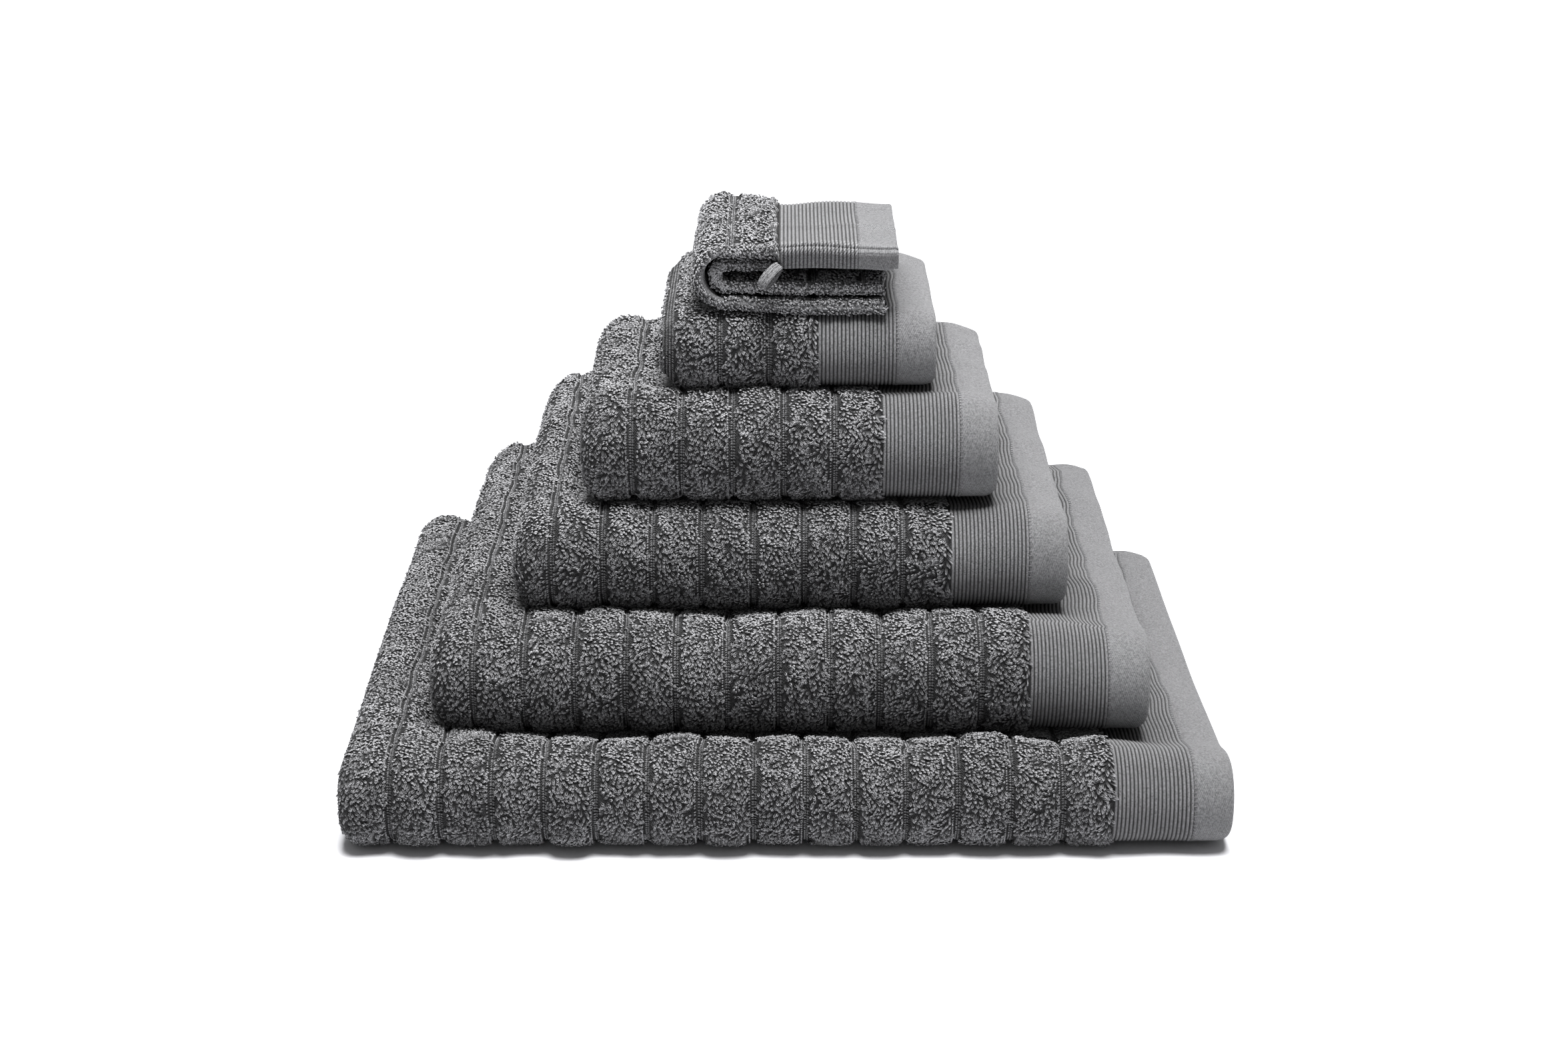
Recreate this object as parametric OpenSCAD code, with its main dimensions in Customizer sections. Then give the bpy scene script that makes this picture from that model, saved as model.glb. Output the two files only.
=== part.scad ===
// A set of six ribbed terry towels, each folded flat and stacked with the largest at the bottom.
// Origin: middle of the stack's outline, on the surface that it stands on.
// +X points to the hemmed ends, -Y to the rolled fronts and +Z up. Sizes are in millimetres.
// Every towel but the face cloth is folded in three along its length, then in half across its
// width, so that six layers lie on each other with the last fold as a roll at the front. The
// face cloth is folded in half twice, with its last fold at the left.

/* [Jumbo bath sheet] */
// Width of the folded towel, fold to hem
jumbo_across = 635; // [560:5:660]
// Width that the cloth is cut to, before it is folded in half
jumbo_cut = 1000; // [960:10:1050]
// Height of the folded towel under the ones above it
jumbo_high = 59; // [50:1:70]

/* [Bath sheet] */
// Width of the folded towel, fold to hem
sheet_across = 518; // [480:2:540]
// Width that the cloth is cut to
sheet_cut = 900; // [820:10:920]
// Height of the folded towel
sheet_high = 74; // [60:1:80]
// How far its front lies behind the front of the stack
sheet_back = 62; // [56:1:90]

/* [Bath towel] */
// Width of the folded towel, fold to hem
bath_across = 405; // [380:1:420]
// Width that the cloth is cut to
bath_cut = 700; // [660:10:740]
// Height of the folded towel
bath_high = 75; // [60:1:80]
// How far its front lies behind the front of the stack
bath_back = 120; // [110:1:130]

/* [Hand towel] */
// Width of the folded towel, fold to hem
hand_across = 307; // [290:1:320]
// Width that the cloth is cut to
hand_cut = 500; // [480:10:520]
// Height of the folded towel
hand_high = 78; // [60:1:80]
// How far its front lies behind the front of the stack
hand_back = 145; // [142:1:160]

/* [Guest towel] */
// Width of the folded towel, fold to hem
guest_across = 202; // [190:1:220]
// Width that the cloth is cut to
guest_cut = 400; // [380:10:420]
// Height of the folded towel
guest_high = 62; // [54:1:70]
// How far its front lies behind the front of the stack
guest_back = 178; // [174:1:190]

/* [Face cloth] */
// Side of the folded cloth, half of the square that it is cut to
face_across = 150; // [140:1:160]
// Height of the folded cloth, four layers and the gap between its halves
face_high = 50; // [46:1:56]
// How far its front lies behind the front of the stack
face_back = 187; // [182:1:200]

/* [Weave] */
// Distance from one rib of terry to the next
rib_pitch = 36.5; // [30:0.5:44]
// Width of the flat woven line between two ribs
groove_wide = 3; // [2:0.5:5]
// Width of the corded border
border_wide = 57; // [40:1:64]
// Number of cords in the border
cords = 20; // [12:1:24]
// Width of the plain hem at the towel's end
hem_wide = 29; // [20:1:34]
// Width of the narrow hem along the towel's sides
side_hem = 10; // [8:1:14]

/* [Hang loop] */
// Outer radius of the tape loop
loop_r = 9; // [8:0.5:10]
// Width of the tape
tape_wide = 7; // [6:0.5:9]
// Thickness of the tape
tape_thick = 1.6; // [1.2:0.1:2]

/* [Hidden] */
$fn = 96;
gap = 0.3;            // between two towels, and where parts of different bodies face each other
cut_past = 1;         // a cut runs this far past the face that it opens
groove_deep = 2.5;    // from the top of a rib to the flat woven line
band_deep = 2;        // from the top of a rib to the border and the hem, which are thinner
cord_deep = 0.7;      // from the top of a cord to the line between two cords
cord_gap = 1;         // width of that line
cloth = 8;            // thickness of the border and the hem where they wrap the layers inside
tuck = 10;            // how far the layers inside end before the hem does
thread = 0.5;         // how far the hem's thread stands proud
layers = 6;           // layers of cloth in a folded towel
layer_gap = 1;        // between two layers' side hems at the back

// One row for each of the five towels with a rolled front, from the bottom of the stack up:
// across, cut, high, front, sideways, rise of the roll above the rest of the towel
TOWELS = [
    [jumbo_across, jumbo_cut, jumbo_high, 0, 0, 14],
    [sheet_across, sheet_cut, sheet_high, sheet_back, 4, 8],
    [bath_across, bath_cut, bath_high, bath_back, 5, 2],
    [hand_across, hand_cut, hand_high, hand_back, 3, 3],
    [guest_across, guest_cut, guest_high, guest_back, 10.5, 0]
];
NAMES = ["jumbo_sheet", "bath_sheet", "bath_towel", "hand_towel", "guest_towel"];
PARTS = ["terry", "border", "hem", "hem_thread", "side_hems"];

function across(i) = TOWELS[i][0];
function high(i) = TOWELS[i][2];
function sideways(i) = TOWELS[i][4];
function roll(i) = (high(i) + TOWELS[i][5]) / 2;
// Half of the layers bend around the other half at the front, which takes some of the cut width
function half_high(i) = high(i) / 2;
function deep(i) = (TOWELS[i][1] - PI * half_high(i) / 2) / 2 + half_high(i);
function base(i) = i == 0 ? 0 : base(i - 1) + high(i - 1) + gap;
stack_deep = max([for (i = [0:len(TOWELS) - 1]) TOWELS[i][3] + deep(i)]);
function front(i) = TOWELS[i][3] - stack_deep / 2;
function left(i) = sideways(i) - across(i) / 2;
function right(i) = sideways(i) + across(i) / 2;
function hem_from(i) = right(i) - hem_wide;
function border_from(i) = hem_from(i) - border_wide;

face_side = 8;                                  // how far the face cloth lies to the right
face_left = face_side - face_across / 2;
face_right = face_side + face_across / 2;
face_front = face_back - stack_deep / 2;
face_base = base(len(TOWELS) - 1) + guest_high + gap;
fold_r = face_high / 2;                         // outer radius of the last fold
half = 22;                                      // height of one half, two layers of cloth
fold_x = face_left + fold_r;                    // the fold's axis, which the upper half turns about
upper = face_base + face_high - half;           // underside of the upper half
loop_x = face_right - hem_wide - border_wide - 6;
loop_y = face_front - 8;                        // middle of the tape's width
loop_z = upper - 1;                             // middle of the loop
pivot_r = 1.3;                                  // rolled end of the loop's tail, which it swings on
pivot_y = face_front - gap - pivot_r;
pivot_z = loop_z + loop_r - tape_thick + pivot_r;

// Outline of a folded towel in Y and Z, shrunk by inset, with its front roll at the origin
module packet(i, inset, past = 0) {
    translate([roll(i), roll(i)])
        circle(r = roll(i) - inset);
    translate([roll(i), inset])
        square([deep(i) - side_hem - roll(i) + past, high(i) - 2 * inset]);
}

// The outline's outer layer of cloth alone, open at the back
module wrap(i, inset, thick) {
    difference() {
        packet(i, inset);
        packet(i, inset + thick, cut_past);
    }
}

// Gives an outline in Y and Z its length along X
module along_x(i, from, wide) {
    translate([from, front(i), base(i)])
        rotate([90, 0, 90])
            linear_extrude(wide)
                children();
}

// Looped pile of one towel: ribs with a flat woven line between them, counted from the border
// to the fold, and the layers that lie inside the border and the hem
module terry(i) {
    whole = border_from(i) - left(i);
    full_ribs = floor(whole / rib_pitch);
    rest = whole - full_ribs * rib_pitch;
    color("dimgray") {
        for (k = [0:full_ribs - 1]) {
            from = border_from(i) - (k + 1) * rib_pitch;
            along_x(i, from, groove_wide)
                packet(i, groove_deep);
            along_x(i, from + groove_wide, rib_pitch - groove_wide)
                packet(i, 0);
        }
        along_x(i, left(i), rest)
            packet(i, 0);
        along_x(i, border_from(i), border_wide + hem_wide - tuck)
            packet(i, band_deep + cloth);
    }
}

// Corded border that wraps the folded layers
module border(i) {
    pitch = border_wide / cords;
    color("slategray")
        for (k = [0:cords - 1]) {
            from = border_from(i) + k * pitch;
            along_x(i, from, cord_gap)
                wrap(i, band_deep + cord_deep, cloth - cord_deep);
            along_x(i, from + cord_gap, pitch - cord_gap)
                wrap(i, band_deep, cloth);
        }
}

// Plain hem at the end of the towel
module hem(i) {
    color("gray")
        along_x(i, hem_from(i), hem_wide)
            wrap(i, band_deep, cloth);
}

// Line of thread that holds the hem down, where it meets the border
module hem_thread(i) {
    color("lightslategray")
        along_x(i, hem_from(i), 2 * thread)
            wrap(i, band_deep - thread, thread);
}

// Narrow turned hems along the towel's sides, one on each layer at the back
module side_hems(i) {
    pitch = high(i) / layers;
    thick = pitch - layer_gap;
    color("gray")
        for (k = [0:layers - 1])
            along_x(i, left(i), across(i))
                translate([deep(i) - side_hem, k * pitch + (k == 0 ? 0 : layer_gap / 2)])
                    turned_edge(side_hem, thick);
}

// Outline of a turned edge: square where it leaves the cloth, rounded at its end
module turned_edge(wide, thick) {
    intersection() {
        square([wide, thick]);
        translate([wide - thick, thick / 2])
            circle(r = thick);
    }
}

// A stretch of the face cloth between two places along X
module face_block(from, to, low, thick) {
    translate([from, face_front + side_hem, low])
        cube([to - from, face_across - side_hem, thick]);
}

// Ribs of terry on one half of the face cloth, with their flat woven lines
module face_terry(to, low) {
    whole = to - fold_x;
    full_ribs = floor(whole / rib_pitch);
    for (k = [0:full_ribs - 1]) {
        from = to - (k + 1) * rib_pitch;
        face_block(from, from + groove_wide, low + groove_deep, half - 2 * groove_deep);
        face_block(from + groove_wide, from + rib_pitch, low, half);
    }
    face_block(fold_x + gap, to - full_ribs * rib_pitch, low, half);
}

// Lower half of the face cloth, two layers
module face_lower_terry() {
    color("dimgray")
        face_terry(face_right - tuck, face_base);
}

// Turned side hems along the front of one half of the face cloth, one on each of its two layers
module face_edges(from, to, low) {
    pitch = half / 2;
    for (k = [0:1])
        translate([from, face_front + side_hem, low + k * pitch])
            mirror([0, 1, 0])
                rotate([90, 0, 90])
                    linear_extrude(to - from)
                        turned_edge(side_hem, pitch - layer_gap);
}

// Side hems of the lower half
module face_lower_side_hems() {
    color("gray")
        face_edges(fold_x + gap, face_right - tuck, face_base);
}

// Last fold of the face cloth, a half ring that joins its two halves
module face_fold() {
    color("dimgray")
        translate([fold_x, face_front + side_hem, face_base + fold_r])
            rotate([-90, 0, 0])
                linear_extrude(face_across - side_hem)
                    difference() {
                        circle(r = fold_r);
                        circle(r = fold_r - half);
                        translate([0, -2 * fold_r])
                            square(4 * fold_r);
                    }
}

// Upper half of the face cloth up to its border, two layers
module face_upper_terry() {
    color("dimgray")
        face_terry(face_right - hem_wide - border_wide, upper);
}

// Side hems of the upper half
module face_upper_side_hems() {
    color("gray")
        face_edges(fold_x + gap, face_right, upper);
}

// Corded border of the face cloth
module face_border() {
    pitch = border_wide / cords;
    start = face_right - hem_wide - border_wide;
    color("slategray")
        for (k = [0:cords - 1]) {
            from = start + k * pitch;
            face_block(from, from + cord_gap, upper, half - band_deep - cord_deep);
            face_block(from + cord_gap, from + pitch, upper, half - band_deep);
        }
}

// Plain hem at the end of the face cloth
module face_hem() {
    color("gray")
        face_block(face_right - hem_wide, face_right, upper, half - band_deep);
}

// Line of thread that holds the face cloth's hem down
module face_hem_thread() {
    color("lightslategray")
        face_block(face_right - hem_wide, face_right - hem_wide + 2 * thread,
            upper + half - band_deep, thread);
}

// Loop of tape for a hook, with a tail that ends in a roll in front of the border's side hem
module loop_of_tape() {
    color("silver")
        translate([loop_x, loop_y, loop_z])
            rotate([90, 0, 0])
                linear_extrude(tape_wide, center = true)
                    difference() {
                        circle(r = loop_r);
                        circle(r = loop_r - tape_thick);
                    }
    color("silver")
        translate([loop_x - tape_wide / 2, loop_y, pivot_z - pivot_r])
            cube([tape_wide, pivot_y - loop_y, 2 * pivot_r]);
    color("silver")
        translate([loop_x - tape_wide / 2, pivot_y, pivot_z])
            rotate([0, 90, 0])
                cylinder(h = tape_wide, r = pivot_r);
}

for (i = [0:len(TOWELS) - 1]) {
    terry(i);
    border(i);
    hem(i);
    hem_thread(i);
    side_hems(i);
}
face_lower_terry();  // face_cloth_lower_terry
face_lower_side_hems();  // face_cloth_lower_side_hems
face_fold();  // face_cloth_fold
face_upper_terry();  // face_cloth_upper_terry
face_upper_side_hems();  // face_cloth_upper_side_hems
face_border();  // face_cloth_border
face_hem();  // face_cloth_hem
face_hem_thread();  // face_cloth_hem_thread
loop_of_tape();  // hang_loop
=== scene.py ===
"""Six ribbed terry towels, folded and stacked: each is one folded sheet of cloth with real layers."""

import math

import bpy
import numpy as np
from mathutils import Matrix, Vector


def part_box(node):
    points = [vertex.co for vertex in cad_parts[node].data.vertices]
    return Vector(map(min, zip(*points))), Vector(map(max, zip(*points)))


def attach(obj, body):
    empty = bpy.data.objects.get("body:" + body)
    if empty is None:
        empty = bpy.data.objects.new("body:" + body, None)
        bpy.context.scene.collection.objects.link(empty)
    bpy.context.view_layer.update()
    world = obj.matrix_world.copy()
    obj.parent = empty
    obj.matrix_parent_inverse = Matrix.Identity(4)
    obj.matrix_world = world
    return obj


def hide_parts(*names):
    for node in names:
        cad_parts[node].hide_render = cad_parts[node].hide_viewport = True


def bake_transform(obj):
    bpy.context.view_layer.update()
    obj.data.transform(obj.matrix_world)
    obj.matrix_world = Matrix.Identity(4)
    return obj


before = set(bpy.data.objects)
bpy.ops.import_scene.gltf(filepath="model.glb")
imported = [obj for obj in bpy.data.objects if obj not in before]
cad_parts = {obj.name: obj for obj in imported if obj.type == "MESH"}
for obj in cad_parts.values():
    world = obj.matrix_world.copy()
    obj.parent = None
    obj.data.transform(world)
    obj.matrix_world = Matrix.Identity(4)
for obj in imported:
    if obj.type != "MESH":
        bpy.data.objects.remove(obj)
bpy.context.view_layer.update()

MM = 0.001
HEM, BORDER = 29 * MM, 57 * MM  # the plain hem and the corded border, along the cloth
PITCH, GROOVE = 36.5 * MM, 3 * MM  # one rib with its flat woven line, and that line alone
CORDS = 20  # in the border
SIDE_HEM = 10 * MM  # no loops or stitches nearer than this to a towel's side edges
SIDE_BAND = 9 * MM  # plain along the side edges
STITCH_LINE, STITCH_STEP = HEM - 0.6 * MM, 3.6 * MM
COOL = 1.03  # every grey is this much stronger in blue
RIB_DEEP = 2.8 * MM  # from the crest of a rib to the flat woven line
YARN = 0.48 * MM  # half the thickness of a loop's yarn
TUCKED_FROM, TUCKED_TO = 4 * MM, 2 * MM  # how far pile goes past each end of the tucked turn


# ---------- small helpers ----------


def smooth(t):
    t = np.clip(t, 0, 1)
    return t * t * (3 - 2 * t)


def mix(a, b, t):
    return a + (b - a) * t


def waves(seed, shortest, longest, count=9):
    """A smooth random field over two coordinates, with mean 0 and spread 1."""
    rng = np.random.default_rng(seed)
    turn, phase = rng.uniform(0, 2 * np.pi, count), rng.uniform(0, 2 * np.pi, count)
    k = 2 * np.pi / rng.uniform(shortest, longest, count)
    size = rng.uniform(0.5, 1, count)
    size /= math.sqrt((size**2).sum() / 2)

    def field(x, y):
        x, y = np.broadcast_arrays(x, y)
        total = np.zeros(x.shape)
        for a, b, c, d in zip(turn, phase, k, size):
            total += d * np.sin(c * (x * math.cos(a) + y * math.sin(a)) + b)
        return total

    return field


def unit(v):
    return v / np.maximum(np.linalg.norm(v, axis=-1, keepdims=True), 1e-12)


def mesh_object(name, points, quads, materials, index=None, uv=None):
    me = bpy.data.meshes.new(name)
    points, quads = points.reshape(-1, 3), quads.reshape(-1, 4)
    me.vertices.add(len(points))
    me.vertices.foreach_set("co", points.ravel())
    me.loops.add(quads.size)
    me.loops.foreach_set("vertex_index", quads.ravel().astype(np.int32))
    me.polygons.add(len(quads))
    me.polygons.foreach_set("loop_start", np.arange(0, quads.size, 4, dtype=np.int32))
    me.polygons.foreach_set("loop_total", np.full(len(quads), 4, np.int32))
    me.polygons.foreach_set("use_smooth", np.ones(len(quads), bool))
    for m in materials:
        me.materials.append(m)
    if index is not None:
        me.polygons.foreach_set("material_index", index.ravel().astype(np.int32))
    if uv is not None:
        layer = me.uv_layers.new(name="cloth")
        layer.data.foreach_set("uv", uv.reshape(-1, 2)[quads.ravel()].ravel())
    me.update()
    ob = bpy.data.objects.new(name, me)
    bpy.context.scene.collection.objects.link(ob)
    return ob


# ---------- materials ----------


def new_material(name, rough, sheen):
    m = bpy.data.materials.new(name)
    m.use_nodes = True
    nt = m.node_tree
    p = nt.nodes["Principled BSDF"]
    p.inputs["Roughness"].default_value = rough
    p.inputs["Sheen Weight"].default_value = sheen
    p.inputs["Sheen Roughness"].default_value = 0.5
    p.inputs["Specular IOR Level"].default_value = 0.25
    return m, nt, p


def object_place(nt):
    return nt.nodes.new("ShaderNodeTexCoord").outputs["Object"]


def noise(nt, vector, scale, detail=2.0):
    n = nt.nodes.new("ShaderNodeTexNoise")
    n.inputs["Scale"].default_value = scale
    n.inputs["Detail"].default_value = detail
    nt.links.new(vector, n.inputs["Vector"])
    return n.outputs["Fac"]


def colour(nt, p, value, stops):
    """Colours the surface by value; the stops are pairs of a place on the ramp and a grey."""
    r = nt.nodes.new("ShaderNodeValToRGB")
    while len(r.color_ramp.elements) < len(stops):
        r.color_ramp.elements.new(0.5)
    for e, (at, grey) in zip(r.color_ramp.elements, stops):
        e.position = at
        e.color = (grey, grey, grey * COOL, 1)
    nt.links.new(value, r.inputs["Fac"])
    nt.links.new(r.outputs["Color"], p.inputs["Base Color"])


def math_node(nt, kind, a, b):
    n = nt.nodes.new("ShaderNodeMath")
    n.operation = kind
    for socket, v in zip(n.inputs, (a, b)):
        if isinstance(v, (int, float)):
            socket.default_value = v
        else:
            nt.links.new(v, socket)
    return n.outputs[0]


def bump(nt, p, height, distance, strength=1.0):
    b = nt.nodes.new("ShaderNodeBump")
    b.inputs["Distance"].default_value = distance
    b.inputs["Strength"].default_value = strength
    nt.links.new(height, b.inputs["Height"])
    nt.links.new(b.outputs["Normal"], p.inputs["Normal"])


def along_cloth(nt):
    """Metres along the cloth's length and across its width, from the mesh's own UV map."""
    uv = nt.nodes.new("ShaderNodeUVMap")
    uv.uv_map = "cloth"
    parts = nt.nodes.new("ShaderNodeSeparateXYZ")
    nt.links.new(uv.outputs["UV"], parts.inputs[0])
    return parts.outputs["X"], parts.outputs["Y"]


def stripes(nt, value, pitch):
    """A sine from -1 to 1 that repeats every pitch metres."""
    return math_node(nt, "SINE", math_node(nt, "MULTIPLY", value, 2 * math.pi / pitch), 0.0)


def pile_material():
    """Its UV map holds how far up its loop a point is, and a random tone for each loop. The colour runs from
    near black at a loop's feet to pale at its top: painted shade low in the pile and painted light on the
    tips.
    """
    m, nt, p = new_material("terry_pile", 0.95, 0.12)
    up, own = along_cloth(nt)
    co = object_place(nt)
    tone = math_node(nt, "ADD", math_node(nt, "MULTIPLY", up, 0.6), math_node(nt, "MULTIPLY", own, 0.18))
    tone = math_node(nt, "ADD", tone, math_node(nt, "MULTIPLY", noise(nt, co, 24), 0.22))
    # painted shade and light: near black at the loops' feet, pale at their tops, over a random tone per loop
    # and a little noise
    colour(nt, p, tone, [(0.2, 0.006), (0.5, 0.08), (0.76, 0.27), (0.95, 0.40)])
    bump(nt, p, noise(nt, co, 2600), 0.0002, 0.6)
    return m


def ground_material():
    m, nt, p = new_material("terry_ground", 1.0, 0.0)
    s, v = along_cloth(nt)
    co = object_place(nt)
    chain = math_node(nt, "MULTIPLY", stripes(nt, v, 2.2 * MM), stripes(nt, s, 1.5 * MM))
    tone = math_node(nt, "ADD", noise(nt, co, 500), math_node(nt, "MULTIPLY", chain, 0.12))
    # painted shade: the ground weave is near black, for the shade that falls between the loops standing on
    # it
    colour(nt, p, tone, [(0.3, 0.008), (0.7, 0.035)])
    bump(nt, p, math_node(nt, "ADD", noise(nt, co, 700, 3.0), math_node(nt, "MULTIPLY", chain, 0.4)), 0.0012)
    return m


def pressed_material():
    """A finish for bare cloth, like pile pressed flat, with the woven lines between its ribs."""
    m, nt, p = new_material("pressed_terry", 0.95, 0.12)
    s, _ = along_cloth(nt)
    co = object_place(nt)
    inside = math_node(nt, "MODULO", math_node(nt, "SUBTRACT", s, HEM + BORDER), PITCH)
    line = math_node(nt, "GREATER_THAN", inside, PITCH - GROOVE)
    loops = noise(nt, co, 520)
    tone = math_node(nt, "SUBTRACT", loops, math_node(nt, "MULTIPLY", line, 0.16))
    colour(nt, p, tone, [(0.32, 0.010), (0.43, 0.09), (0.53, 0.24), (0.65, 0.39)])
    bump(nt, p, loops, 0.0022)
    return m


def cord_material():
    m, nt, p = new_material("corded_weave", 0.85, 0.12)
    s, v = along_cloth(nt)
    co = object_place(nt)
    lean = math_node(nt, "ADD", v, math_node(nt, "MULTIPLY", s, 0.55))
    rope = stripes(nt, lean, 1.15 * MM)
    # painted shade: the tone is multiplied down to near black in the valleys between the cords, as if shaded
    # there
    from_valley = math_node(nt, "MULTIPLY", math_node(nt, "SUBTRACT", s, HEM), math.pi * CORDS / BORDER)
    crest = math_node(nt, "ABSOLUTE", math_node(nt, "SINE", from_valley, 0.0), 0.0)
    tone = math_node(nt, "ADD", math_node(nt, "MULTIPLY", rope, 0.10), noise(nt, co, 900))
    tone = math_node(nt, "MULTIPLY", tone, crest)
    colour(nt, p, tone, [(0.12, 0.006), (0.28, 0.10), (0.5, 0.175), (0.7, 0.25)])
    bump(nt, p, math_node(nt, "ADD", math_node(nt, "MULTIPLY", rope, 0.5), noise(nt, co, 1500)), 0.0006)
    return m


def twill_material():
    m, nt, p = new_material("plain_twill", 0.85, 0.12)
    s, v = along_cloth(nt)
    co = object_place(nt)
    lean = math_node(nt, "ADD", s, math_node(nt, "MULTIPLY", v, 0.35))
    twill = stripes(nt, lean, 1.35 * MM)
    pick = stripes(nt, v, 0.9 * MM)
    weave = math_node(nt, "ADD", math_node(nt, "MULTIPLY", twill, 0.6), math_node(nt, "MULTIPLY", pick, 0.3))
    tone = math_node(nt, "ADD", math_node(nt, "MULTIPLY", weave, 0.08), noise(nt, co, 700))
    colour(nt, p, tone, [(0.28, 0.08), (0.5, 0.14), (0.75, 0.20)])
    bump(nt, p, math_node(nt, "ADD", weave, noise(nt, co, 1800)), 0.00035)
    return m


def thread_material():
    m, nt, p = new_material("sewing_thread", 0.7, 0.2)
    co = object_place(nt)
    colour(nt, p, noise(nt, co, 1400), [(0.3, 0.09), (0.7, 0.15)])
    bump(nt, p, noise(nt, co, 3000), 0.0002)
    return m


def tape_material():
    m, nt, p = new_material("knitted_tape", 0.9, 0.12)
    s, v = along_cloth(nt)
    co = object_place(nt)
    off_middle = math_node(nt, "ABSOLUTE", v, 0.0)
    rows = stripes(nt, math_node(nt, "ADD", s, math_node(nt, "MULTIPLY", off_middle, 0.5)), 1.1 * MM)
    lines = stripes(nt, math_node(nt, "ADD", off_middle, 0.2 * MM), 1.7 * MM)
    above_lines, above_rows = (math_node(nt, "MAXIMUM", a, 0.0) for a in (lines, rows))
    eyelets = math_node(nt, "MULTIPLY", above_lines, above_rows)
    tone = math_node(nt, "SUBTRACT", noise(nt, co, 800), math_node(nt, "MULTIPLY", eyelets, 0.4))
    tone = math_node(nt, "ADD", tone, math_node(nt, "MULTIPLY", rows, 0.06))
    colour(nt, p, tone, [(0.2, 0.01), (0.45, 0.12), (0.75, 0.22)])
    bump(nt, p, math_node(nt, "SUBTRACT", math_node(nt, "MULTIPLY", rows, 0.25), eyelets), 0.0004)
    return m


PILE, GROUND, PRESSED = pile_material(), ground_material(), pressed_material()
CORD, TWILL, THREAD, TAPE = cord_material(), twill_material(), thread_material(), tape_material()
CLOTH = [GROUND, CORD, TWILL, PRESSED]
ON_GROUND, ON_CORD, ON_TWILL, ON_PRESSED = range(len(CLOTH))


# ---------- the cloth's thickness, along its length ----------


def rib_bulge(s):
    """From 0 on the flat woven line to 1 on the crest of a rib."""
    inside = np.mod(s - HEM - BORDER, PITCH) / (PITCH - GROOVE)
    across = np.abs(2 * np.clip(inside, 0, 1) - 1)
    return np.where(inside < 1, (1 - across**5) ** 0.55, 0)


def cord_dip(s):
    """From 0 on a cord's crest to 1 on the line between two cords."""
    c = np.mod((s - HEM) / (BORDER / CORDS), 1)
    return 1 - np.sqrt(np.clip(1 - 0.97 * (2 * c - 1) ** 2, 0, 1))


def faces_of_cloth(s, layer, end=None):
    """How deep the cloth's outer and inner face lie in a layer of that height; end is the far end's s."""
    from_end = s if end is None else np.minimum(s, end - s)
    b = rib_bulge(s)
    thin = np.where(from_end < HEM + BORDER + 3 * MM, 3.2 * MM, RIB_DEEP)
    out = np.minimum(RIB_DEEP * (1 - b), thin)
    inner = layer - min(4.2 * MM, layer - RIB_DEEP - 1.4 * MM) * (1 - b)
    cords = from_end < HEM + BORDER
    out = np.where(cords, 1.5 * MM + 1.5 * MM * cord_dip(from_end), out)
    inner = np.where(cords, 5.4 * MM, inner)
    hem = from_end < HEM
    out, inner = np.where(hem, 1.8 * MM, out), np.where(hem, 6.4 * MM, inner)
    mid = (out + inner) / 2
    r = np.sqrt(np.clip(1 - (1 - np.clip(from_end / (2.6 * MM), 0, 1)) ** 2, 0.004, 1))
    return mid + (out - mid) * r, mid + (inner - mid) * r


def columns(length, fine_to):
    """Places along the cloth's length, close together where the outer layer shows."""
    s = [0, 0.1, 0.4, 1.0, 1.8, 2.6, *np.linspace(5, 27, 7), 28.4, 29]
    s = [a * MM for a in s]
    for k in range(CORDS):
        s += [HEM + BORDER / CORDS * (k + f) for f in (0.02, 0.2, 0.36, 0.5, 0.64, 0.8)]
    fine = (0, 0.012, 0.04, 0.09, 0.16, 0.25, 0.37, 0.5, 0.63, 0.75, 0.84, 0.91, 0.96, 0.988, 1)
    coarse = (0, 0.06, 0.25, 0.5, 0.75, 0.94, 1)
    at = HEM + BORDER
    while at < length:
        s += [at + (PITCH - GROOVE) * f for f in (fine if at < fine_to else coarse)]
        at += PITCH
    s = [a for a in s if a < length - HEM - BORDER or a < fine_to]
    s += [length - a * MM for a in (86, 72, 58, 44, 30, 28, 20, 10, 5, 2.6, 1.8, 1.0, 0.4, 0.1, 0)]
    return s


def tidy(s):
    s = np.unique(np.round(np.array(s), 6))
    keep = np.r_[True, np.diff(s) > 0.00008]
    return s[keep]


# ---------- pile and stitches ----------


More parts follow.
